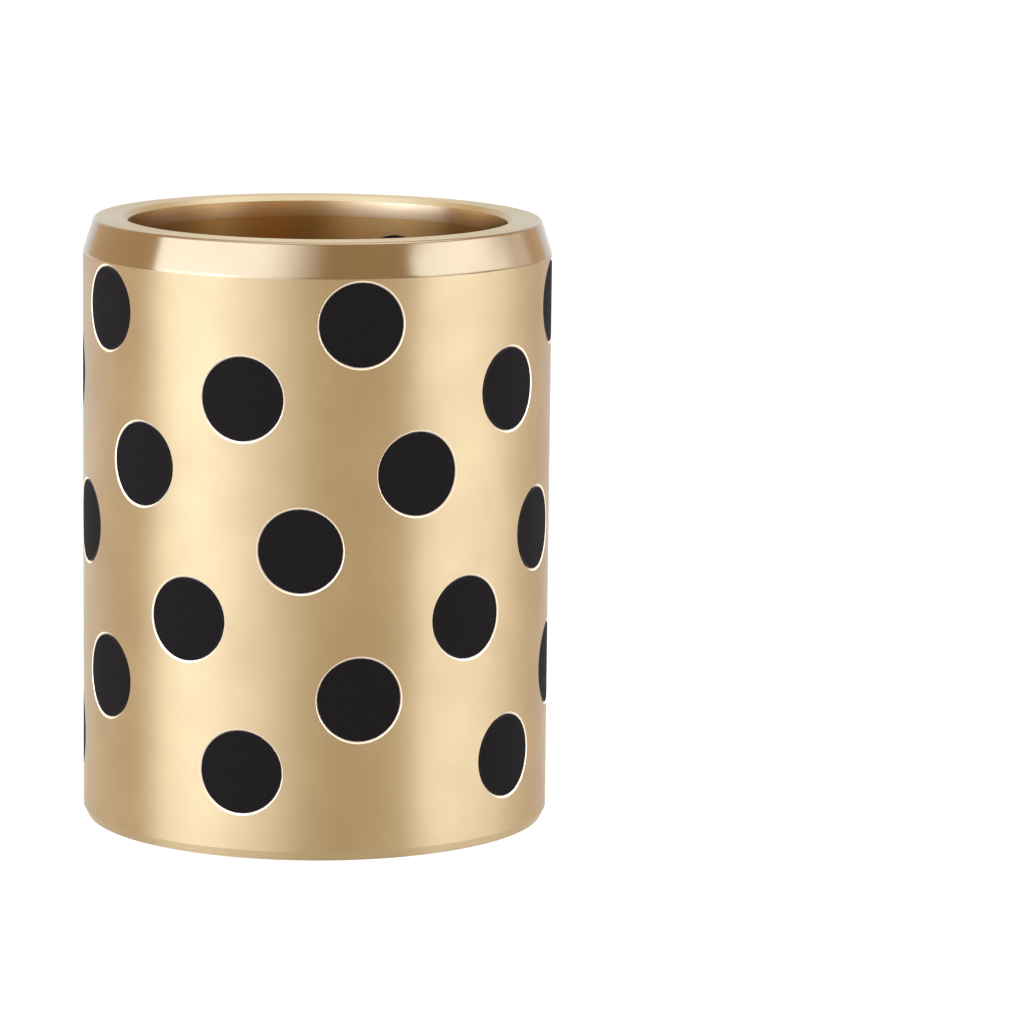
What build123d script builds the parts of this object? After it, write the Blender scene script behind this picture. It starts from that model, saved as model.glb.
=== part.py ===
from build123d import *
from math import cos, radians, sin, tan
import os

# A sleeve bearing that lubricates itself: a bronze tube, drilled through its wall in rings, with a graphite
# plug pressed into every hole. Tube and plugs are turned together, so each plug ends flush with the outside
# and with the bore.
# Z runs up the bore. Z = 0 is the plain end, which the bearing stands on, and the lead-in end is on top.
# Lengths are in millimetres and angles in degrees.

# Sleeve
bore_diameter = 50.0
wall = 6.0
length = 80.0
lead_chamfer_length = 4.4
lead_chamfer_angle = 18.0
lead_corner_radius = 0.5
foot_chamfer_length = 1.2
foot_chamfer_angle = 26.0
bore_chamfer = 0.7

# Plugs, in rings that each start a part-turn behind the ring above
plug_diameter = 10.8
plug_rows = 7
plugs_per_row = 5
lead_margin = 10.4
foot_margin = 11.4
first_plug_angle = -79.4
spacings_per_row = 0.4
bond_gap = 0.02
rim_break = 0.25

bore_radius = bore_diameter / 2
outer_radius = bore_radius + wall
plug_radius = plug_diameter / 2
hole_radius = plug_radius + bond_gap
row_pitch = (length - lead_margin - foot_margin) / (plug_rows - 1)
plug_spacing = 360 / plugs_per_row
row_turn = spacings_per_row * plug_spacing
lead_depth = lead_chamfer_length * tan(radians(lead_chamfer_angle))
foot_depth = foot_chamfer_length * tan(radians(foot_chamfer_angle))


def turned_envelope():
    """The outline that both the sleeve and the plugs are turned to: one section, spun about Z."""
    mouth_radius = bore_radius + bore_chamfer
    lead_corner = (outer_radius - lead_depth, length)
    with BuildPart() as envelope:
        with BuildSketch(Plane.XZ) as section:
            with BuildLine():
                Polyline(
                    (mouth_radius, 0),
                    (outer_radius - foot_depth, 0),
                    (outer_radius, foot_chamfer_length),
                    (outer_radius, length - lead_chamfer_length),
                    lead_corner,
                    (mouth_radius, length),
                    (bore_radius, length - bore_chamfer),
                    (bore_radius, bore_chamfer),
                    close=True,
                )
            make_face()
            fillet(section.vertices().sort_by_distance(lead_corner)[0], lead_corner_radius)
        revolve(axis=Axis.Z)
    return envelope.part


def rod_across_wall(row, place, radius):
    """A round rod through the wall, square to it, where one plug sits. Row 0 is nearest the lead-in end."""
    angle = first_plug_angle + place * plug_spacing - row * row_turn
    height = length - lead_margin - row * row_pitch
    outward = (cos(radians(angle)), sin(radians(angle)), 0)
    start = Plane(origin=(0, 0, height), x_dir=(0, 0, 1), z_dir=outward)
    reach = outer_radius + wall
    return extrude(start * Circle(radius), reach)


def plug_places():
    return [(row, place) for row in range(plug_rows) for place in range(plugs_per_row)]


def drilled_sleeve(envelope):
    """Plain tube stock, drilled, with each hole's outer rim broken, and then turned to the envelope."""
    stock = Cylinder(outer_radius, length, align=(Align.CENTER, Align.CENTER, Align.MIN))
    stock -= Cylinder(bore_radius, length, align=(Align.CENTER, Align.CENTER, Align.MIN))
    drilled = stock - [rod_across_wall(row, place, hole_radius) for row, place in plug_places()]
    mid_wall = bore_radius + wall / 2
    rims = [
        edge
        for edge in drilled.edges()
        if edge.geom_type not in (GeomType.CIRCLE, GeomType.LINE)
        and Vector((edge @ 0.5).X, (edge @ 0.5).Y, 0).length > mid_wall
    ]
    return chamfer(rims, rim_break) & envelope


os.makedirs("parts", exist_ok=True)
envelope = turned_envelope()
export_step(drilled_sleeve(envelope), "parts/sleeve.step")
for row, place in plug_places():
    plug = rod_across_wall(row, place, plug_radius) & envelope
    export_step(plug, f"parts/plug_row{row + 1}_{place + 1}.step")
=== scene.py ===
import bpy
from math import cos, pi, radians, sin, tan
from mathutils import Matrix, Vector


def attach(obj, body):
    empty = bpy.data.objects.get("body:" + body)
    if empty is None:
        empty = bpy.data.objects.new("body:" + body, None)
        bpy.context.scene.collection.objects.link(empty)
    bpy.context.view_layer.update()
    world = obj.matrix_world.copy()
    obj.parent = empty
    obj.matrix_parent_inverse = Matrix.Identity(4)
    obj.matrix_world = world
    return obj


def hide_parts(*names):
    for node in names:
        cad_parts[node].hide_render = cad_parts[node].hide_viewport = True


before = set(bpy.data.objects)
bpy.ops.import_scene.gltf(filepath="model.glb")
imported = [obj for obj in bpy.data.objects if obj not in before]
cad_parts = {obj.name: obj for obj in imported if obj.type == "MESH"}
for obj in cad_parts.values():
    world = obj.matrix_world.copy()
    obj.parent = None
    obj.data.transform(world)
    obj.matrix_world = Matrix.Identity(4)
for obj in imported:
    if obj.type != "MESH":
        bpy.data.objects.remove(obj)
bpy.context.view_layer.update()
print("frame loaded")

mm = 0.001


# A colour picked on screen, as the linear colour that a shader socket takes
def fromHex(code):
    channels = [int(code[place:place + 2], 16) / 255 for place in (1, 3, 5)]
    return tuple(c / 12.92 if c <= 0.04045 else ((c + 0.055) / 1.055) ** 2.4 for c in channels) + (1.0,)


# Adds a node. settings are its own properties. In sockets, a value is typed in and an output is linked.
def addNode(tree, kind, settings={}, sockets={}):
    node = tree.nodes.new(kind)
    for name, value in settings.items():
        setattr(node, name, value)
    for name, value in sockets.items():
        if isinstance(value, bpy.types.NodeSocket):
            tree.links.new(value, node.inputs[name])
        else:
            node.inputs[name].default_value = value
    return node


# A tree with named inputs: each is (name, socket type, starting value)
def newTree(name, inputs, takesGeometry=True):
    tree = bpy.data.node_groups.new(name, "GeometryNodeTree")
    if takesGeometry:
        tree.interface.new_socket("Geometry", in_out="INPUT", socket_type="NodeSocketGeometry")
    for label, kind, value in inputs:
        socket = tree.interface.new_socket(label, in_out="INPUT", socket_type="NodeSocket" + kind)
        if value is not None:
            socket.default_value = value
    tree.interface.new_socket("Geometry", in_out="OUTPUT", socket_type="NodeSocketGeometry")
    return tree, tree.nodes.new("NodeGroupInput").outputs, tree.nodes.new("NodeGroupOutput").inputs


# What the trees keep on faces and points while they work
workingAttributes = {
    "leanOut", "leanUp", "drilled", "holeAngle", "holeHeight", "plugAngle", "plugHeight", "plugFace", "film"}


# Puts a tree on an object, fills its inputs in, and turns the result into a plain mesh
def grow(piece, tree, values):
    modifier = piece.modifiers.new(tree.name, "NODES")
    modifier.node_group = tree
    for item in tree.interface.items_tree:
        if item.in_out == "INPUT" and item.name in values:
            modifier[item.identifier] = values[item.name]
    evaluated = piece.evaluated_get(bpy.context.evaluated_depsgraph_get())
    grown = bpy.data.meshes.new_from_object(evaluated)
    piece.modifiers.clear()
    piece.data = grown
    grown.name = piece.name
    for slot in reversed(range(len(grown.materials))):
        if grown.materials[slot] is None:
            grown.materials.pop(index=slot)
    for name in [kept.name for kept in grown.attributes if kept.name in workingAttributes]:
        grown.attributes.remove(grown.attributes[name])
    print(piece.name, "has", len(grown.polygons), "faces")
    return piece


# Cast high-tensile manganese bronze: a warm pale gold. Each way of cutting it spreads the light its own way.
bronze = {
    "toolMark": 0.35 * mm,
    "markHeight": 0.05 * mm,
    "markStretch": 0.03,  # how far noise is squeezed to become bands round the axis
    "tarnishPatch": 9 * mm,
    "roughnessSpread": 0.012,
    "shineTurn": 0.25,  # a quarter turn, so that highlights run across the marks
}

bronzeFinishes = {
    # Turned on a lathe with a fine feed: the marks run round, so highlights stretch along the bore
    "turnedBronze": {"colour": "#b9a379", "dullColour": "#b49e75", "roughness": 0.5, "anisotropy": 0.9,
                     "markDepth": 0.03},
    # Chamfers, cut with a sharp tool and burnished: lamps show in them with hard edges. Darker by painted
    # shade
    "burnishedBronzePaintedShade": {"colour": "#968668", "dullColour": "#928264", "roughness": 0.16, "anisotropy": 0.5,
                        "markDepth": 0.012},
    # End faces, faced on the lathe: a soft sheen that is brightest where the marks lie across the view
    "facedBronze": {"colour": "#b9ad86", "dullColour": "#b5a982", "roughness": 0.42, "anisotropy": 0.75,
                    "markDepth": 0.02},
    # The bore's mouth, reamed: smooth, so it catches the lamps as a bright band. Paler by painted highlight
    "reamedBronzePaintedHighlight": {"colour": "#d3ba90", "dullColour": "#ceb58b", "roughness": 0.24, "anisotropy": 0.5,
                     "markDepth": 0.012},
    # Bore and drilled walls, honed to running size: smooth, and it mirrors itself
    "honedBronze": {"colour": "#cda668", "dullColour": "#c7a062", "roughness": 0.24, "anisotropy": 0.5,
                    "markDepth": 0.015},
}


# A new material, with its tree, its shader and the place on the object
def startMaterial(name):
    material = bpy.data.materials.new(name)
    material.use_nodes = True
    tree = material.node_tree
    place = addNode(tree, "ShaderNodeTexCoord").outputs["Object"]
    return material, tree, tree.nodes["Principled BSDF"], place


def makeBronze(name, finish):
    material, tree, shader, place = startMaterial(name)
    # Patches where handling has dulled the metal a little
    patches = addNode(tree, "ShaderNodeTexNoise", sockets={
        "Vector": place, "Scale": 1 / bronze["tarnishPatch"], "Detail": 4.0, "Roughness": 0.55})
    dulled = addNode(tree, "ShaderNodeMapRange", sockets={
        "Value": patches.outputs["Fac"], "From Min": 0.35, "From Max": 0.65})
    colour = addNode(tree, "ShaderNodeMix", {"data_type": "RGBA"}, {
        "Factor": dulled.outputs["Result"], 6: fromHex(finish["colour"]), 7: fromHex(finish["dullColour"])})
    rough = addNode(tree, "ShaderNodeMapRange", sockets={
        "Value": patches.outputs["Fac"], "From Min": 0.3, "From Max": 0.7,
        "To Min": finish["roughness"] - bronze["roughnessSpread"],
        "To Max": finish["roughness"] + bronze["roughnessSpread"]})
    # Tool marks: noise squeezed to bands that run round the axis
    squeezed = addNode(tree, "ShaderNodeMapping", sockets={
        "Vector": place, "Scale": (bronze["markStretch"], bronze["markStretch"], 1.0)})
    marks = addNode(tree, "ShaderNodeTexNoise", sockets={
        "Vector": squeezed.outputs["Vector"], "Scale": 1 / bronze["toolMark"],
        "Detail": 3.0, "Roughness": 0.6})
    bump = addNode(tree, "ShaderNodeBump", sockets={
        "Strength": finish["markDepth"], "Distance": bronze["markHeight"], "Height": marks.outputs["Fac"]})
    tree.links.new(colour.outputs[2], shader.inputs["Base Color"])
    tree.links.new(rough.outputs["Result"], shader.inputs["Roughness"])
    tree.links.new(bump.outputs["Normal"], shader.inputs["Normal"])
    shader.inputs["Metallic"].default_value = 1.0
    shader.inputs["Anisotropic"].default_value = finish["anisotropy"]
    shader.inputs["Anisotropic Rotation"].default_value = bronze["shineTurn"]
    return material


finishes = {name: makeBronze(name, finish) for name, finish in bronzeFinishes.items()}

# The broken rim of each drilled hole. Its pale cream colour is a painted highlight, bright all the way round
paintedRimHighlight = {
    # pale cream: a painted highlight, far paler than the bronze round it
    "colour": "#f6e4c4",
    "chatter": 0.5 * mm,
    "roughness": 0.5,
    "roughnessSpread": 0.08,
    "metallic": 0.6,
}


def makeRim():
    material, tree, shader, place = startMaterial("rimPaintedHighlight")
    chatter = addNode(tree, "ShaderNodeTexNoise", sockets={
        "Vector": place, "Scale": 1 / paintedRimHighlight["chatter"], "Detail": 2.0})
    rough = addNode(tree, "ShaderNodeMapRange", sockets={
        "Value": chatter.outputs["Fac"],
        "To Min": paintedRimHighlight["roughness"] - paintedRimHighlight["roughnessSpread"],
        "To Max": paintedRimHighlight["roughness"] + paintedRimHighlight["roughnessSpread"]})
    tree.links.new(rough.outputs["Result"], shader.inputs["Roughness"])
    # The rim is painted pale cream as a highlight all round the hole
    shader.inputs["Base Color"].default_value = fromHex(paintedRimHighlight["colour"])
    shader.inputs["Metallic"].default_value = paintedRimHighlight["metallic"]
    return material


# Pressed graphite, turned flush with the bronze: near black and dry, with a fine grain
graphite = {
    "colour": "#151210",
    "grainColour": "#1e1a18",
    "grain": 0.3 * mm,
    "grainDepth": 0.02 * mm,
    "grainStrength": 0.15,
    "roughness": 0.8,
    "specular": 0.06,
}


def makeGraphite():
    material, tree, shader, place = startMaterial("pressedGraphite")
    grain = addNode(tree, "ShaderNodeTexNoise", sockets={
        "Vector": place, "Scale": 1 / graphite["grain"], "Detail": 3.0, "Roughness": 0.7})
    fleck = addNode(tree, "ShaderNodeMapRange", sockets={
        "Value": grain.outputs["Fac"], "From Min": 0.45, "From Max": 0.75})
    colour = addNode(tree, "ShaderNodeMix", {"data_type": "RGBA"}, {
        "Factor": fleck.outputs["Result"],
        6: fromHex(graphite["colour"]), 7: fromHex(graphite["grainColour"])})
    bump = addNode(tree, "ShaderNodeBump", sockets={
        "Strength": graphite["grainStrength"], "Distance": graphite["grainDepth"],
        "Height": grain.outputs["Fac"]})
    tree.links.new(colour.outputs[2], shader.inputs["Base Color"])
    tree.links.new(bump.outputs["Normal"], shader.inputs["Normal"])
    shader.inputs["Roughness"].default_value = graphite["roughness"]
    shader.inputs["Specular IOR Level"].default_value = graphite["specular"]
    return material


# Cured resin film round each plug, flecked with dust. Its black is the joint and painted shade of the groove
resinFilmAndGrooveShade = {
    # black: the resin joint, and painted shade of the narrow groove round the plug, seen as a thin dark line
    "colour": "#050404",
    "dustColour": "#0c0a09",
    "dust": 0.4 * mm,
    "roughness": 0.5,
    "specular": 0.1,
}


def makeFilmAndShade():
    material, tree, shader, place = startMaterial("resinFilmPaintedShade")
    dust = addNode(tree, "ShaderNodeTexNoise", sockets={
        "Vector": place, "Scale": 1 / resinFilmAndGrooveShade["dust"], "Detail": 2.0})
    # The film's black is partly painted shade of the groove
    colour = addNode(tree, "ShaderNodeMix", {"data_type": "RGBA"}, {
        "Factor": dust.outputs["Fac"], 6: fromHex(resinFilmAndGrooveShade["colour"]), 7: fromHex(resinFilmAndGrooveShade["dustColour"])})
    tree.links.new(colour.outputs[2], shader.inputs["Base Color"])
    shader.inputs["Roughness"].default_value = resinFilmAndGrooveShade["roughness"]
    shader.inputs["Specular IOR Level"].default_value = resinFilmAndGrooveShade["specular"]
    return material


rimMaterial = makeRim()
graphiteMaterial = makeGraphite()
filmAndShadeMaterial = makeFilmAndShade()
print("materials made")

# Plug pattern, shared by the drilled holes and the plugs
plugPattern = {
    "Rows": 7,
    "Plugs per Row": 5,
    "First Angle": radians(-79.4),
    "Turn per Row": radians(-28.8),
    "Top Row Height": 69.6 * mm,
    "Row Pitch": 9.7 * mm,
}


# One point for each plug, on the axis at the plug's height, with its angle kept as an attribute
def makePlugPlaces():
    tree, given, result = newTree("plugPlaces", [
        ("Rows", "Int", 7), ("Plugs per Row", "Int", 5), ("First Angle", "Float", 0.0),
        ("Turn per Row", "Float", 0.0), ("Top Row Height", "Float", 0.0), ("Row Pitch", "Float", 0.0)],
        takesGeometry=False)
    count = addNode(tree, "ShaderNodeMath", {"operation": "MULTIPLY"}, {
        0: given["Rows"], 1: given["Plugs per Row"]})
    index = addNode(tree, "GeometryNodeInputIndex").outputs[0]
    share = addNode(tree, "ShaderNodeMath", {"operation": "DIVIDE"}, {0: index, 1: given["Plugs per Row"]})
    row = addNode(tree, "ShaderNodeMath", {"operation": "FLOOR"}, {0: share.outputs[0]})
    fraction = addNode(tree, "ShaderNodeMath", {"operation": "FRACT"}, {0: share.outputs[0]})
    place = addNode(tree, "ShaderNodeMath", {"operation": "MULTIPLY_ADD"}, {
        0: fraction.outputs[0], 1: 2 * pi, 2: given["First Angle"]})
    angle = addNode(tree, "ShaderNodeMath", {"operation": "MULTIPLY_ADD"}, {
        0: row.outputs[0], 1: given["Turn per Row"], 2: place.outputs[0]})
    drop = addNode(tree, "ShaderNodeMath", {"operation": "MULTIPLY"}, {
        0: row.outputs[0], 1: given["Row Pitch"]})
    height = addNode(tree, "ShaderNodeMath", {"operation": "SUBTRACT"}, {
        0: given["Top Row Height"], 1: drop.outputs[0]})
    position = addNode(tree, "ShaderNodeCombineXYZ", sockets={"Z": height.outputs[0]})
    points = addNode(tree, "GeometryNodePoints", sockets={
        "Count": count.outputs[0], "Position": position.outputs[0]})
    kept = addNode(tree, "GeometryNodeStoreNamedAttribute", {"data_type": "FLOAT", "domain": "POINT"}, {
        "Geometry": points.outputs[0], "Name": "plugAngle", "Value": angle.outputs[0]})
    keptHeight = addNode(tree, "GeometryNodeStoreNamedAttribute", {
        "data_type": "FLOAT", "domain": "POINT"}, {
        "Geometry": kept.outputs[0], "Name": "plugHeight", "Value": height.outputs[0]})
    tree.links.new(keptHeight.outputs[0], result[0])
    return tree


plugPlaces = makePlugPlaces()


# Puts a copy on every place, turned to face outwards. Each face keeps the angle and height of its own hole.
def placeRound(tree, places, copied):
    angle = addNode(tree, "GeometryNodeInputNamedAttribute", {"data_type": "FLOAT"}, {
        "Name": "plugAngle"}).outputs[0]
    height = addNode(tree, "GeometryNodeInputNamedAttribute", {"data_type": "FLOAT"}, {
        "Name": "plugHeight"}).outputs[0]
    turn = addNode(tree, "ShaderNodeCombineXYZ", sockets={"Z": angle})
    rotation = addNode(tree, "FunctionNodeEulerToRotation", sockets={0: turn.outputs[0]})
    copies = addNode(tree, "GeometryNodeInstanceOnPoints", sockets={
        "Points": places, "Instance": copied, "Rotation": rotation.outputs[0]})
    placed = addNode(tree, "GeometryNodeRealizeInstances", sockets={"Geometry": copies.outputs[0]})
    for name, value in (("holeAngle", angle), ("holeHeight", height)):
        placed = addNode(tree, "GeometryNodeStoreNamedAttribute", {
            "data_type": "FLOAT", "domain": "FACE"}, {
            "Geometry": placed.outputs[0], "Name": name, "Value": value})
    return placed.outputs[0]


# The axis of the hole that a face belongs to, and the direction away from that axis
def aroundHole(tree, position):
    angle = addNode(tree, "GeometryNodeInputNamedAttribute", {"data_type": "FLOAT"}, {
        "Name": "holeAngle"}).outputs[0]
    height = addNode(tree, "GeometryNodeInputNamedAttribute", {"data_type": "FLOAT"}, {
        "Name": "holeHeight"}).outputs[0]
    cosine = addNode(tree, "ShaderNodeMath", {"operation": "COSINE"}, {0: angle})
    sine = addNode(tree, "ShaderNodeMath", {"operation": "SINE"}, {0: angle})
    axis = addNode(tree, "ShaderNodeCombineXYZ", sockets={
        "X": cosine.outputs[0], "Y": sine.outputs[0]}).outputs[0]
    centre = addNode(tree, "ShaderNodeCombineXYZ", sockets={"Z": height})
    fromCentre = addNode(tree, "ShaderNodeVectorMath", {"operation": "SUBTRACT"}, {
        0: position, 1: centre.outputs[0]})
    depth = addNode(tree, "ShaderNodeVectorMath", {"operation": "DOT_PRODUCT"}, {
        0: fromCentre.outputs[0], 1: axis})
    onAxis = addNode(tree, "ShaderNodeVectorMath", {"operation": "SCALE"}, {
        0: axis, "Scale": depth.outputs["Value"]})
    away = addNode(tree, "ShaderNodeVectorMath", {"operation": "SUBTRACT"}, {
        0: fromCentre.outputs[0], 1: onAxis.outputs[0]})
    unit = addNode(tree, "ShaderNodeVectorMath", {"operation": "NORMALIZE"}, {0: away.outputs[0]})
    return axis, unit.outputs[0]


foldLimit = radians(9)  # two faces that meet more sharply than this have an edge between them


# Smooth faces with the normals of the true shape, and an edge where two of those shapes meet
def giveNormals(tree, mesh, normal):
    rounded = addNode(tree, "GeometryNodeSetShadeSmooth", {"domain": "FACE"}, {"Geometry": mesh})
    fold = addNode(tree, "GeometryNodeInputMeshEdgeAngle")
    isEdge = addNode(tree, "FunctionNodeCompare", {"operation": "GREATER_THAN"}, {
        0: fold.outputs["Unsigned Angle"], 1: foldLimit})
    edged = addNode(tree, "GeometryNodeSetShadeSmooth", {"domain": "EDGE"}, {
        "Geometry": rounded.outputs[0], "Selection": isEdge.outputs[0], "Shade Smooth": False})
    return addNode(tree, "GeometryNodeSetMeshNormal", {"mode": "FREE", "domain": "CORNER"}, {
        "Mesh": edged.outputs[0], "Custom Normal": normal})


sleeve = {
    "boreRadius": 25 * mm,
    "outerRadius": 31 * mm,
    "length": 80 * mm,
    "leadLength": 4.4 * mm,
    "leadAngle": radians(18),
    "leadCorner": 0.5 * mm,
    "cornerSteps": 12,
    "leadBlend": 2.0 * mm,
    "blendSteps": 6,
    "footLength": 1.2 * mm,
    "footAngle": radians(26),
    "boreChamfer": 0.7 * mm,
    "mouthChamfer": 0.6 * mm,
    "mouthTaper": 2.1 * mm,
    "mouthTaperAngle": radians(3.5),
    "holeRadius": 5.42 * mm,
    "rimWidth": 0.3 * mm,
    "rimLean": 2.2,  # how far the rims' normals lean outwards, so that they shine as if rounded over
    "flareReach": 4.0,  # the drill's flare, in rim widths
    "drillStart": 0.9,  # where the drill begins, as a share of the bore's radius
    "stepsRound": 288,
    "stepsRoundHole": 72,
}


# Points of an arc, as (radius, height), with the outward normal turning from one lean to another
def arcPoints(middle, size, fromLean, toLean, steps):
    leans = [fromLean + (toLean - fromLean) * step / steps for step in range(steps + 1)]
    return [(middle[0] + size * cos(lean), middle[1] + size * sin(lean)) for lean in leans]


# Half the sleeve's section, as (radius, height) corners. The lead-in chamfer is blended into the skin and
# the end, and the bore opens to its mouth with a slight taper and a chamfer.
def sleeveSection():
    inner = sleeve["boreRadius"]
    foot = inner + sleeve["boreChamfer"]
    taperRadius = inner + sleeve["mouthTaper"] * tan(sleeve["mouthTaperAngle"])
    taperTop = sleeve["length"] - sleeve["mouthChamfer"]
    outer = sleeve["outerRadius"]
    top = sleeve["length"]
    lean = sleeve["leadAngle"]
    leadRadius = outer - sleeve["leadLength"] * tan(lean)
    footRadius = outer - sleeve["footLength"] * tan(sleeve["footAngle"])
    # Both arcs touch the cone, whose outward normal leans up by the chamfer's angle
    blend = sleeve["leadBlend"]
    blendMiddle = (outer - blend, top - sleeve["leadLength"] - blend * tan(lean / 2))
    corner = sleeve["leadCorner"]
    cornerMiddle = (leadRadius - corner * tan((pi / 2 - lean) / 2), top - corner)
    return [
        (foot, 0), (footRadius, 0), (outer, sleeve["footLength"]),
        *arcPoints(blendMiddle, blend, 0, lean, sleeve["blendSteps"]),
        *arcPoints(cornerMiddle, corner, lean, pi / 2, sleeve["cornerSteps"]),
        (taperRadius + sleeve["mouthChamfer"], top), (taperRadius, taperTop),
        (inner, taperTop - sleeve["mouthTaper"]), (inner, sleeve["boreChamfer"]),
    ]


# Where each finish starts: by a turned face's lean, which is 0 on the skin, 90 degrees on the end and 180 in
# the bore, and by the kind of cut, which is 1 on a drilled wall and 2 on its rim
leanLimits = {"Burnished": radians(6), "Faced": radians(85), "Reamed": radians(140), "Honed": radians(178)}
cutLimits = {"Honed": 0.5, "Rim": 1.5}


# Spins the section round the bore, drills it, breaks the rims, and gives each face its own normal
def makeDrilledSleeve():
    tree, given, result = newTree("drilledSleeve", [
        ("Outer Radius", "Float", 0.031), ("Bore Radius", "Float", 0.025), ("Hole Radius", "Float", 0.0054),
        ("Rim Width", "Float", 0.00025), ("Steps Round", "Int", 288), ("Steps Round Hole", "Int", 72),
        ("Rows", "Int", 7), ("Plugs per Row", "Int", 5), ("First Angle", "Float", 0.0),
        ("Turn per Row", "Float", 0.0), ("Top Row Height", "Float", 0.0), ("Row Pitch", "Float", 0.0),
        ("Turned", "Material", None), ("Burnished", "Material", None), ("Faced", "Material", None),
        ("Reamed", "Material", None), ("Honed", "Material", None), ("Rim", "Material", None)])

    section = addNode(tree, "GeometryNodeMeshToCurve", sockets={"Mesh": given["Geometry"]})
    circle = addNode(tree, "GeometryNodeCurvePrimitiveCircle", {"mode": "RADIUS"}, {
        "Resolution": given["Steps Round"], "Radius": given["Bore Radius"]})
    spun = addNode(tree, "GeometryNodeCurveToMesh", sockets={
        "Curve": circle.outputs["Curve"], "Profile Curve": section.outputs[0]})
    blank = addNode(tree, "GeometryNodeFlipFaces", sockets={"Mesh": spun.outputs[0]})

    # How far each face of the blank leans out and up, kept through the drilling
    faceNormal = addNode(tree, "GeometryNodeInputNormal").outputs["Normal"]
    position = addNode(tree, "GeometryNodeInputPosition").outputs[0]
    flat = addNode(tree, "ShaderNodeVectorMath", {"operation": "MULTIPLY"}, {0: position, 1: (1, 1, 0)})
    outward = addNode(tree, "ShaderNodeVectorMath", {"operation": "NORMALIZE"}, {
        0: flat.outputs[0]}).outputs[0]
    leanOut = addNode(tree, "ShaderNodeVectorMath", {"operation": "DOT_PRODUCT"}, {
        0: faceNormal, 1: outward})
    leanUp = addNode(tree, "ShaderNodeSeparateXYZ", sockets={0: faceNormal})
    keptOut = addNode(tree, "GeometryNodeStoreNamedAttribute", {"data_type": "FLOAT", "domain": "FACE"}, {
        "Geometry": blank.outputs[0], "Name": "leanOut", "Value": leanOut.outputs["Value"]})
    turned = addNode(tree, "GeometryNodeStoreNamedAttribute", {"data_type": "FLOAT", "domain": "FACE"}, {
        "Geometry": keptOut.outputs[0], "Name": "leanUp", "Value": leanUp.outputs["Z"]})

    # A drill with a flared mouth, lying along X. Its rings are bent to the curve of the outside.
    drill = addNode(tree, "GeometryNodeMeshCylinder", {"fill_type": "NGON"}, {
        "Vertices": given["Steps Round Hole"], "Side Segments": 2, "Radius": 1.0, "Depth": 2.0})
    local = addNode(tree, "ShaderNodeSeparateXYZ", sockets={0: position})
    isMouth = addNode(tree, "ShaderNodeMath", {"operation": "GREATER_THAN"}, {
        0: local.outputs["Z"], 1: 0.5})
    isInside = addNode(tree, "ShaderNodeMath", {"operation": "LESS_THAN"}, {0: local.outputs["Z"], 1: -0.5})
    flare = addNode(tree, "ShaderNodeMath", {"operation": "MULTIPLY"}, {
        0: given["Rim Width"], 1: sleeve["flareReach"]})
    ringRadius = addNode(tree, "ShaderNodeMath", {"operation": "MULTIPLY_ADD"}, {
        0: isMouth.outputs[0], 1: flare.outputs[0], 2: given["Hole Radius"]})
    across = addNode(tree, "ShaderNodeMath", {"operation": "MULTIPLY"}, {
        0: local.outputs["X"], 1: ringRadius.outputs[0]})
    along = addNode(tree, "ShaderNodeMath", {"operation": "MULTIPLY"}, {
        0: local.outputs["Y"], 1: ringRadius.outputs[0]})
    edgeAcross = addNode(tree, "ShaderNodeMath", {"operation": "MULTIPLY"}, {
        0: local.outputs["X"], 1: given["Hole Radius"]})
    acrossSquare = addNode(tree, "ShaderNodeMath", {"operation": "MULTIPLY"}, {
        0: edgeAcross.outputs[0], 1: edgeAcross.outputs[0]})
    outerSquare = addNode(tree, "ShaderNodeMath", {"operation": "MULTIPLY"}, {
        0: given["Outer Radius"], 1: given["Outer Radius"]})
    reachSquare = addNode(tree, "ShaderNodeMath", {"operation": "SUBTRACT"}, {
        0: outerSquare.outputs[0], 1: acrossSquare.outputs[0]})
    skin = addNode(tree, "ShaderNodeMath", {"operation": "SQRT"}, {0: reachSquare.outputs[0]})
    edge = addNode(tree, "ShaderNodeMath", {"operation": "SUBTRACT"}, {
        0: skin.outputs[0], 1: given["Rim Width"]})
    mouth = addNode(tree, "ShaderNodeMath", {"operation": "MULTIPLY_ADD"}, {
        0: isMouth.outputs[0], 1: flare.outputs[0], 2: edge.outputs[0]})
    short = addNode(tree, "ShaderNodeMath", {"operation": "MULTIPLY"}, {
        0: given["Bore Radius"], 1: sleeve["drillStart"]})
    reach = addNode(tree, "ShaderNodeMix", {"data_type": "FLOAT"}, {
        "Factor": isInside.outputs[0], 2: mouth.outputs[0], 3: short.outputs[0]})
    bent = addNode(tree, "ShaderNodeCombineXYZ", sockets={
        "X": reach.outputs[0], "Y": across.outputs[0], "Z": along.outputs[0]})
    # 1 is kept on the drill's wall and 2 on its flare
    isFlare = addNode(tree, "ShaderNodeMath", {"operation": "GREATER_THAN"}, {
        0: local.outputs["Z"], 1: 0.0})
    kindOfCut = addNode(tree, "ShaderNodeMath", {"operation": "ADD"}, {0: isFlare.outputs[0], 1: 1.0})
    marked = addNode(tree, "GeometryNodeStoreNamedAttribute", {"data_type": "FLOAT", "domain": "FACE"}, {
        "Geometry": drill.outputs["Mesh"], "Name": "drilled", "Value": kindOfCut.outputs[0]})
    shapedDrill = addNode(tree, "GeometryNodeSetPosition", sockets={
        "Geometry": marked.outputs[0], "Position": bent.outputs[0]})

    places = addNode(tree, "GeometryNodeGroup", {"node_tree": plugPlaces}, {
        name: given[name] for name in plugPattern})
    drills = placeRound(tree, places.outputs[0], shapedDrill.outputs[0])
    drilled = addNode(tree, "GeometryNodeMeshBoolean", {"operation": "DIFFERENCE", "solver": "EXACT"}, {
        "Mesh 1": turned.outputs[0], "Mesh 2": drills})

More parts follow.
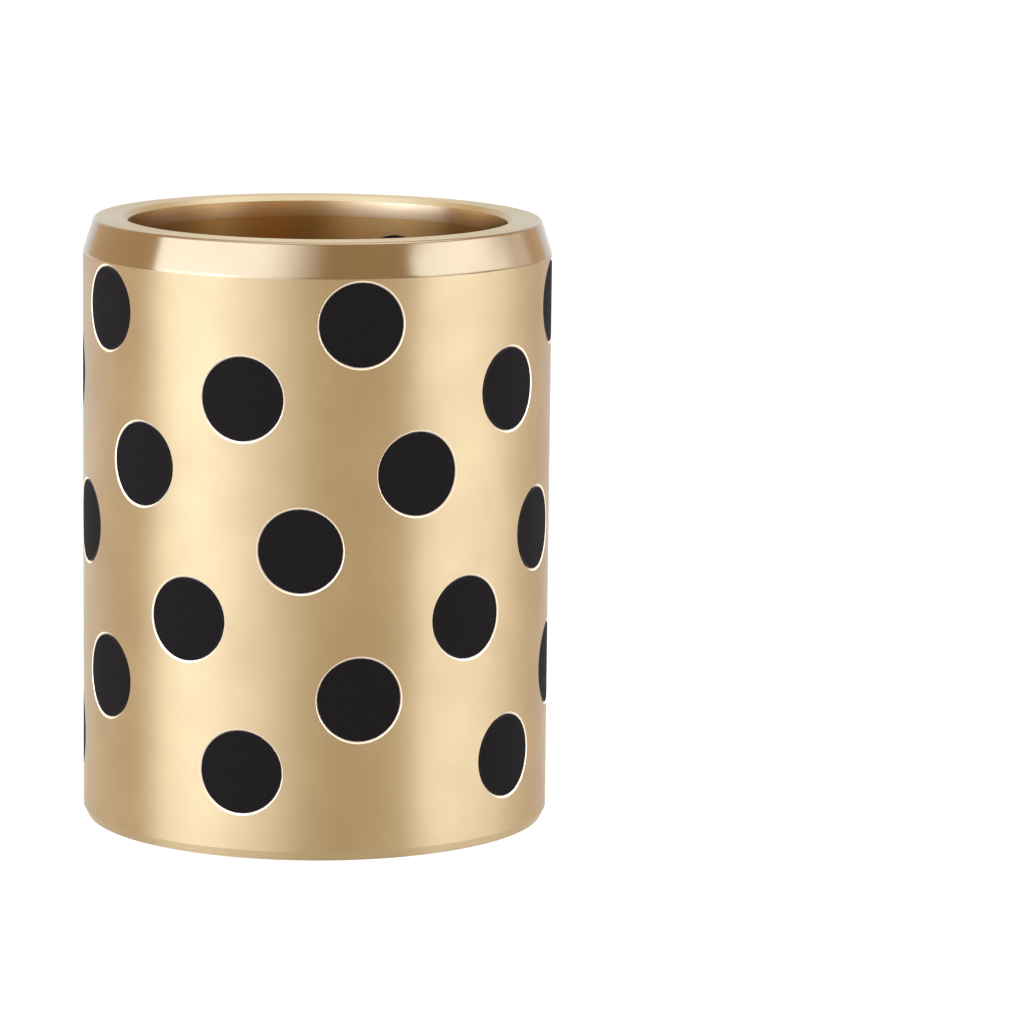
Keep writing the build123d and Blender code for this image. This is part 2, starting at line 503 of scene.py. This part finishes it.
    # Normals of the turned faces, from how far they lean
    outNow = addNode(tree, "GeometryNodeInputNamedAttribute", {"data_type": "FLOAT"}, {
        "Name": "leanOut"}).outputs[0]
    upNow = addNode(tree, "GeometryNodeInputNamedAttribute", {"data_type": "FLOAT"}, {
        "Name": "leanUp"}).outputs[0]
    outPart = addNode(tree, "ShaderNodeVectorMath", {"operation": "SCALE"}, {0: outward, "Scale": outNow})
    upPart = addNode(tree, "ShaderNodeCombineXYZ", sockets={"Z": upNow})
    turnedNormal = addNode(tree, "ShaderNodeVectorMath", {"operation": "ADD"}, {
        0: outPart.outputs[0], 1: upPart.outputs[0]})
    # Normals of a drilled wall point at its axis, and those of a rim lean outwards
    holeAxis, fromAxis = aroundHole(tree, position)
    unitInwards = addNode(tree, "ShaderNodeVectorMath", {"operation": "SCALE"}, {
        0: fromAxis, "Scale": -1.0})
    cut = addNode(tree, "GeometryNodeInputNamedAttribute", {"data_type": "FLOAT"}, {
        "Name": "drilled"}).outputs[0]
    isRim = addNode(tree, "ShaderNodeMath", {"operation": "GREATER_THAN"}, {0: cut, 1: cutLimits["Rim"]})
    outwards = addNode(tree, "ShaderNodeMath", {"operation": "MULTIPLY"}, {
        0: isRim.outputs[0], 1: sleeve["rimLean"]})
    isDrilled = addNode(tree, "ShaderNodeMath", {"operation": "GREATER_THAN"}, {
        0: cut, 1: cutLimits["Honed"]}).outputs[0]
    rimLean = addNode(tree, "ShaderNodeVectorMath", {"operation": "SCALE"}, {
        0: holeAxis, "Scale": outwards.outputs[0]})
    drilledSum = addNode(tree, "ShaderNodeVectorMath", {"operation": "ADD"}, {
        0: unitInwards.outputs[0], 1: rimLean.outputs[0]})
    drilledNormal = addNode(tree, "ShaderNodeVectorMath", {"operation": "NORMALIZE"}, {
        0: drilledSum.outputs[0]})
    trueNormal = addNode(tree, "ShaderNodeMix", {"data_type": "VECTOR"}, {
        "Factor": isDrilled, 4: turnedNormal.outputs[0], 5: drilledNormal.outputs[0]})
    smooth = giveNormals(tree, drilled.outputs["Mesh"], trueNormal.outputs[1])

    # A finish for each kind of face
    lean = addNode(tree, "ShaderNodeMath", {"operation": "ARCTAN2"}, {0: upNow, 1: outNow}).outputs[0]
    finished = addNode(tree, "GeometryNodeRealizeInstances", sockets={"Geometry": smooth.outputs[0]})
    finished = addNode(tree, "GeometryNodeSetMaterial", sockets={
        "Geometry": finished.outputs[0], "Material": given["Turned"]})
    for value, limits in ((lean, leanLimits), (cut, cutLimits)):
        for finish, limit in limits.items():
            past = addNode(tree, "FunctionNodeCompare", {"operation": "GREATER_THAN"}, {0: value, 1: limit})
            finished = addNode(tree, "GeometryNodeSetMaterial", sockets={
                "Geometry": finished.outputs[0], "Selection": past.outputs[0], "Material": given[finish]})
    tree.links.new(finished.outputs[0], result[0])
    return tree


section = bpy.data.meshes.new("sleeveSection")
corners = sleeveSection()
section.from_pydata(
    [(radius - sleeve["boreRadius"], -height, 0) for radius, height in corners],
    [(place, (place + 1) % len(corners)) for place in range(len(corners))], [])
bronzeSleeve = bpy.data.objects.new("bronzeSleeve", section)
bpy.context.collection.objects.link(bronzeSleeve)
grow(bronzeSleeve, makeDrilledSleeve(), {
    "Outer Radius": sleeve["outerRadius"], "Bore Radius": sleeve["boreRadius"],
    "Hole Radius": sleeve["holeRadius"], "Rim Width": sleeve["rimWidth"],
    "Steps Round": sleeve["stepsRound"], "Steps Round Hole": sleeve["stepsRoundHole"],
    "Turned": finishes["turnedBronze"], "Burnished": finishes["burnishedBronzePaintedShade"],
    "Faced": finishes["facedBronze"], "Reamed": finishes["reamedBronzePaintedHighlight"],
    "Honed": finishes["honedBronze"], "Rim": rimMaterial, **plugPattern})
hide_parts("sleeve")
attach(bronzeSleeve, "root")
print("sleeve drilled")

# Graphite plugs, pressed in with resin and turned flush with the sleeve
plugs = {
    "radius": 5.4 * mm,
    "filmWidth": 0.14 * mm,
    "filmSink": 0.06 * mm,
    "rings": 6,
    "stepsRound": 72,
}


# A round plug whose two faces follow the outside and the bore, ringed by resin, copied into every hole
def makePlugs():
    tree, given, result = newTree("graphitePlugs", [
        ("Outer Radius", "Float", 0.031), ("Bore Radius", "Float", 0.025), ("Plug Radius", "Float", 0.0054),
        ("Film Width", "Float", 0.00014), ("Film Sink", "Float", 0.00006), ("Rings", "Int", 6),
        ("Steps Round", "Int", 72), ("Rows", "Int", 7), ("Plugs per Row", "Int", 5),
        ("First Angle", "Float", 0.0), ("Turn per Row", "Float", 0.0),
        ("Top Row Height", "Float", 0.0), ("Row Pitch", "Float", 0.0),
        ("Graphite", "Material", None), ("Film", "Material", None)], takesGeometry=False)

    blank = addNode(tree, "GeometryNodeMeshCylinder", {"fill_type": "TRIANGLE_FAN"}, {
        "Vertices": given["Steps Round"], "Side Segments": 1, "Fill Segments": given["Rings"],
        "Radius": 1.0, "Depth": 2.0})
    position = addNode(tree, "GeometryNodeInputPosition").outputs[0]
    local = addNode(tree, "ShaderNodeSeparateXYZ", sockets={0: position})
    flat = addNode(tree, "ShaderNodeVectorMath", {"operation": "MULTIPLY"}, {
        0: position, 1: (1, 1, 0)}).outputs[0]
    outward = addNode(tree, "ShaderNodeVectorMath", {"operation": "NORMALIZE"}, {0: flat}).outputs[0]
    share = addNode(tree, "ShaderNodeVectorMath", {"operation": "LENGTH"}, {0: flat}).outputs["Value"]

    # All rings but the last fill the graphite, and the last one is the film
    ring = addNode(tree, "ShaderNodeMath", {"operation": "MULTIPLY"}, {
        0: share, 1: given["Rings"]}).outputs[0]
    graphiteRings = addNode(tree, "ShaderNodeMath", {"operation": "SUBTRACT"}, {
        0: given["Rings"], 1: 1.0}).outputs[0]
    part = addNode(tree, "ShaderNodeMath", {"operation": "DIVIDE"}, {0: ring, 1: graphiteRings})
    within = addNode(tree, "ShaderNodeMath", {"operation": "MINIMUM"}, {0: part.outputs[0], 1: 1.0})
    past = addNode(tree, "ShaderNodeMath", {"operation": "SUBTRACT"}, {0: ring, 1: graphiteRings})
    inFilm = addNode(tree, "ShaderNodeMath", {"operation": "MAXIMUM"}, {
        0: past.outputs[0], 1: 0.0}).outputs[0]
    graphiteRadius = addNode(tree, "ShaderNodeMath", {"operation": "SUBTRACT"}, {
        0: given["Plug Radius"], 1: given["Film Width"]})
    filmPart = addNode(tree, "ShaderNodeMath", {"operation": "MULTIPLY"}, {
        0: inFilm, 1: given["Film Width"]})
    radius = addNode(tree, "ShaderNodeMath", {"operation": "MULTIPLY_ADD"}, {
        0: within.outputs[0], 1: graphiteRadius.outputs[0], 2: filmPart.outputs[0]})
    spread = addNode(tree, "ShaderNodeVectorMath", {"operation": "SCALE"}, {
        0: outward, "Scale": radius.outputs[0]})
    at = addNode(tree, "ShaderNodeSeparateXYZ", sockets={0: spread.outputs[0]})

    # Each face is bent to its own cylinder, and the film is sunk a little
    isOuter = addNode(tree, "ShaderNodeMath", {"operation": "GREATER_THAN"}, {
        0: local.outputs["Z"], 1: 0.0}).outputs[0]
    bend = addNode(tree, "ShaderNodeMix", {"data_type": "FLOAT"}, {
        "Factor": isOuter, 2: given["Bore Radius"], 3: given["Outer Radius"]}).outputs[0]
    bendSquare = addNode(tree, "ShaderNodeMath", {"operation": "MULTIPLY"}, {0: bend, 1: bend})
    acrossSquare = addNode(tree, "ShaderNodeMath", {"operation": "MULTIPLY"}, {
        0: at.outputs["X"], 1: at.outputs["X"]})
    left = addNode(tree, "ShaderNodeMath", {"operation": "SUBTRACT"}, {
        0: bendSquare.outputs[0], 1: acrossSquare.outputs[0]})
    skin = addNode(tree, "ShaderNodeMath", {"operation": "SQRT"}, {0: left.outputs[0]})
    sunk = addNode(tree, "ShaderNodeMath", {"operation": "MULTIPLY"}, {0: inFilm, 1: given["Film Sink"]})
    inwards = addNode(tree, "ShaderNodeMix", {"data_type": "FLOAT"}, {"Factor": isOuter, 2: 1.0, 3: -1.0})
    reach = addNode(tree, "ShaderNodeMath", {"operation": "MULTIPLY_ADD"}, {
        0: sunk.outputs[0], 1: inwards.outputs[0], 2: skin.outputs[0]})
    bent = addNode(tree, "ShaderNodeCombineXYZ", sockets={
        "X": reach.outputs[0], "Y": at.outputs["X"], "Z": at.outputs["Y"]})

    # 1 is kept on the outer face, -1 on the inner one, 0 on the side. film is 1 on the last ring and side.
    faceNormal = addNode(tree, "GeometryNodeInputNormal").outputs["Normal"]
    facing = addNode(tree, "ShaderNodeSeparateXYZ", sockets={0: faceNormal})
    marked = addNode(tree, "GeometryNodeStoreNamedAttribute", {"data_type": "FLOAT", "domain": "FACE"}, {
        "Geometry": blank.outputs["Mesh"], "Name": "plugFace", "Value": facing.outputs["Z"]})
    past = addNode(tree, "ShaderNodeMath", {"operation": "SUBTRACT"}, {0: given["Rings"], 1: ring})
    isFilm = addNode(tree, "ShaderNodeMath", {"operation": "LESS_THAN"}, {0: past.outputs[0], 1: 0.75})
    filmed = addNode(tree, "GeometryNodeStoreNamedAttribute", {"data_type": "FLOAT", "domain": "FACE"}, {
        "Geometry": marked.outputs[0], "Name": "film", "Value": isFilm.outputs[0]})
    shaped = addNode(tree, "GeometryNodeSetPosition", sockets={
        "Geometry": filmed.outputs[0], "Position": bent.outputs[0]})
    places = addNode(tree, "GeometryNodeGroup", {"node_tree": plugPlaces}, {
        name: given[name] for name in plugPattern})
    placed = placeRound(tree, places.outputs[0], shaped.outputs[0])

    kind = addNode(tree, "GeometryNodeInputNamedAttribute", {"data_type": "FLOAT"}, {
        "Name": "plugFace"}).outputs[0]
    faceOut = addNode(tree, "ShaderNodeVectorMath", {"operation": "SCALE"}, {0: outward, "Scale": kind})
    isFace = addNode(tree, "ShaderNodeMath", {"operation": "ABSOLUTE"}, {0: kind})
    axis, fromAxis = aroundHole(tree, position)
    trueNormal = addNode(tree, "ShaderNodeMix", {"data_type": "VECTOR"}, {
        "Factor": isFace.outputs[0], 4: fromAxis, 5: faceOut.outputs[0]})
    smooth = giveNormals(tree, placed, trueNormal.outputs[1])
    onFilm = addNode(tree, "GeometryNodeInputNamedAttribute", {"data_type": "FLOAT"}, {"Name": "film"})
    filmed = addNode(tree, "FunctionNodeCompare", {"operation": "GREATER_THAN"}, {
        0: onFilm.outputs[0], 1: 0.5})
    finished = addNode(tree, "GeometryNodeRealizeInstances", sockets={"Geometry": smooth.outputs[0]})
    finished = addNode(tree, "GeometryNodeSetMaterial", sockets={
        "Geometry": finished.outputs[0], "Material": given["Graphite"]})
    finished = addNode(tree, "GeometryNodeSetMaterial", sockets={
        "Geometry": finished.outputs[0], "Selection": filmed.outputs[0], "Material": given["Film"]})
    tree.links.new(finished.outputs[0], result[0])
    return tree


graphitePlugs = bpy.data.objects.new("graphitePlugs", bpy.data.meshes.new("plugsBlank"))
bpy.context.collection.objects.link(graphitePlugs)
grow(graphitePlugs, makePlugs(), {
    "Outer Radius": sleeve["outerRadius"], "Bore Radius": sleeve["boreRadius"],
    "Plug Radius": plugs["radius"],
    "Film Width": plugs["filmWidth"], "Film Sink": plugs["filmSink"], "Rings": plugs["rings"],
    "Steps Round": plugs["stepsRound"], "Graphite": graphiteMaterial, "Film": filmAndShadeMaterial, **plugPattern})
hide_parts(*[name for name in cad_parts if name.startswith("plug")])
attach(graphitePlugs, "root")
print("plugs pressed in")

# Stage: a white paper floor and a white card standing far behind the bushing
stage = {
    "floorSize": 24,
    "cardDistance": 1.35,
    "cardWidth": 1.6,
    "cardHeight": 1.1,
    "colour": 0.25,
    "lift": 0.8,
}


# Nearly white to the camera and in the metal by its own glow. The lamps' light on top takes it past white,
# so the bushing's shadow doesn't show on it.
def makePaper():
    material = bpy.data.materials.new("mattWhitePaper")
    material.use_nodes = True
    tree = material.node_tree
    tree.nodes.remove(tree.nodes["Principled BSDF"])
    matt = addNode(tree, "ShaderNodeBsdfDiffuse", sockets={"Color": (stage["colour"],) * 3 + (1,)})
    path = addNode(tree, "ShaderNodeLightPath")
    seen = addNode(tree, "ShaderNodeMath", {"operation": "MAXIMUM"}, {
        0: path.outputs["Is Camera Ray"], 1: path.outputs["Is Glossy Ray"]})
    seenToo = addNode(tree, "ShaderNodeMath", {"operation": "MAXIMUM"}, {
        0: seen.outputs[0], 1: path.outputs["Is Transmission Ray"]})
    lift = addNode(tree, "ShaderNodeMath", {"operation": "MULTIPLY"}, {
        0: seenToo.outputs[0], 1: stage["lift"]})
    glow = addNode(tree, "ShaderNodeEmission", sockets={"Color": (1, 1, 1, 1), "Strength": lift.outputs[0]})
    both = addNode(tree, "ShaderNodeAddShader", sockets={0: matt.outputs[0], 1: glow.outputs[0]})
    tree.links.new(both.outputs[0], tree.nodes["Material Output"].inputs["Surface"])
    return material


paper = makePaper()


def addSheet(name, corners):
    mesh = bpy.data.meshes.new(name)
    mesh.from_pydata(corners, [], [(0, 1, 2, 3)])
    mesh.materials.append(paper)
    sheet = bpy.data.objects.new(name, mesh)
    bpy.context.collection.objects.link(sheet)


half = stage["floorSize"] / 2
addSheet("paperFloor", [(-half, -half, 0), (half, -half, 0), (half, half, 0), (-half, half, 0)])
side, back, top = stage["cardWidth"] / 2, stage["cardDistance"], stage["cardHeight"]
addSheet("paperCard", [(-side, back, 0), (side, back, 0), (side, back, top), (-side, back, top)])

# Soft boxes. azimuth runs from the camera's side towards +X, angles in degrees, sizes in metres.
# feather is the share of the width over which the light fades at its left and right edge.
lampColour = "#c5d9ff"
softBoxes = {
    "leftBox": {"azimuth": -43, "elevation": 24, "distance": 1.3, "width": 2.42, "height": 1.25,
                "radiance": 4.2, "feather": (0.02, 0.45)},
    "lowLeftBox": {"azimuth": -62, "elevation": 10, "distance": 1.3, "width": 1.63, "height": 0.5,
                   "radiance": 3.4, "feather": (0.78, 0.43)},
    "nearLeftBox": {"azimuth": -62, "elevation": 0, "distance": 0.35, "width": 0.45, "height": 0.06,
                    "radiance": 5.2, "feather": (0.5, 0.5)},
    "rearLeftBox": {"azimuth": -125, "elevation": 0, "distance": 0.35, "width": 0.5, "height": 0.06,
                    "radiance": 1.1, "feather": (0.4, 0.4)},
    "rightBox": {"azimuth": 83, "elevation": 24, "distance": 1.3, "width": 1.74, "height": 0.5,
                 "radiance": 3.9, "feather": (0.12, 0.43)},
    "farRightBox": {"azimuth": 114, "elevation": 12, "distance": 1.3, "width": 0.9, "height": 0.3,
                    "radiance": 1.1, "feather": (0.3, 0.3)},
    "nearRightBox": {"azimuth": 84, "elevation": 0, "distance": 0.35, "width": 0.6, "height": 0.06,
                     "radiance": 13.8, "feather": (0.15, 0.8)},
    "topBox": {"azimuth": 180, "elevation": 86, "distance": 1.4, "width": 2.6, "height": 1.2,
               "radiance": 2.4, "feather": (0.1, 0.5)},
}


def addSoftBox(name, box):
    lamp = bpy.data.lights.new(name, "AREA")
    lamp.shape = "RECTANGLE"
    lamp.size = box["width"]
    lamp.size_y = box["height"]
    # An area lamp of power P has radiance P / (pi * area)
    lamp.energy = box["radiance"] * pi * box["width"] * box["height"]
    lamp.color = fromHex(lampColour)[:3]
    lamp.use_nodes = True
    tree = lamp.node_tree
    across = addNode(tree, "ShaderNodeNewGeometry").outputs["Parametric"]
    share = addNode(tree, "ShaderNodeSeparateXYZ", sockets={0: across}).outputs["X"]
    left = addNode(tree, "ShaderNodeMapRange", {"interpolation_type": "SMOOTHSTEP"}, {
        "Value": share, "From Min": 0.0, "From Max": box["feather"][0]})
    right = addNode(tree, "ShaderNodeMapRange", {"interpolation_type": "SMOOTHSTEP"}, {
        "Value": share, "From Min": 1.0, "From Max": 1 - box["feather"][1]})
    both = addNode(tree, "ShaderNodeMath", {"operation": "MULTIPLY"}, {
        0: left.outputs["Result"], 1: right.outputs["Result"]})
    tree.links.new(both.outputs[0], tree.nodes["Emission"].inputs["Strength"])
    lampObject = bpy.data.objects.new(name, lamp)
    bpy.context.collection.objects.link(lampObject)
    azimuth, elevation = radians(box["azimuth"]), radians(box["elevation"])
    direction = Vector((sin(azimuth) * cos(elevation), -cos(azimuth) * cos(elevation), sin(elevation)))
    # Every lamp points at the middle of the bushing
    lampObject.location = direction * box["distance"] + Vector((0, 0, sleeve["length"] / 2))
    lampObject.rotation_euler = direction.to_track_quat("Z", "Y").to_euler()
    lampObject.visible_camera = False


for name, box in softBoxes.items():
    addSoftBox(name, box)

# The room beyond the lamps: warm, and dimmest behind the camera, a little to its right
room = {
    "behindCamera": "#eacdae",
    "aside": "#ffdfc0",
    "strength": 1.1,
    "dimmestAzimuth": 18,
    "fade": (-0.9, -0.4),  # where it turns from one colour to the other: -1 is behind the camera
}

world = bpy.data.worlds.new("dimRoom")
world.use_nodes = True
direction = addNode(world.node_tree, "ShaderNodeTexCoord").outputs["Generated"]
turned = addNode(world.node_tree, "ShaderNodeMapping", sockets={
    "Vector": direction, "Rotation": (0, 0, radians(-room["dimmestAzimuth"]))})
depth = addNode(world.node_tree, "ShaderNodeSeparateXYZ", sockets={0: turned.outputs["Vector"]}).outputs["Y"]
aside = addNode(world.node_tree, "ShaderNodeMapRange", {"interpolation_type": "SMOOTHSTEP"}, {
    "Value": depth, "From Min": room["fade"][0], "From Max": room["fade"][1]})
colour = addNode(world.node_tree, "ShaderNodeMix", {"data_type": "RGBA"}, {
    "Factor": aside.outputs["Result"], 6: fromHex(room["behindCamera"]), 7: fromHex(room["aside"])})
background = world.node_tree.nodes["Background"]
background.inputs["Strength"].default_value = room["strength"]
world.node_tree.links.new(colour.outputs[2], background.inputs["Color"])
bpy.context.scene.world = world
print("stage lit")

viewpoint = {
    "place": (0, -0.68857, 0.15729),
    "yaw": radians(2.1714),
    "pitch": radians(9.6131),
    "roll": radians(0.69),
    "lens": 183.95,
    "sensorWidth": 36,
}
cameraData = bpy.data.cameras.new("camera")
cameraData.lens = viewpoint["lens"]
cameraData.sensor_width = viewpoint["sensorWidth"]
camera = bpy.data.objects.new("camera", cameraData)
bpy.context.collection.objects.link(camera)
camera.matrix_world = (
    Matrix.Translation(viewpoint["place"])
    @ Matrix.Rotation(-viewpoint["yaw"], 4, "Z")
    @ Matrix.Rotation(pi / 2 - viewpoint["pitch"], 4, "X")
    @ Matrix.Rotation(viewpoint["roll"], 4, "Z"))
bpy.context.scene.camera = camera

bpy.context.scene.view_settings.view_transform = "Standard"
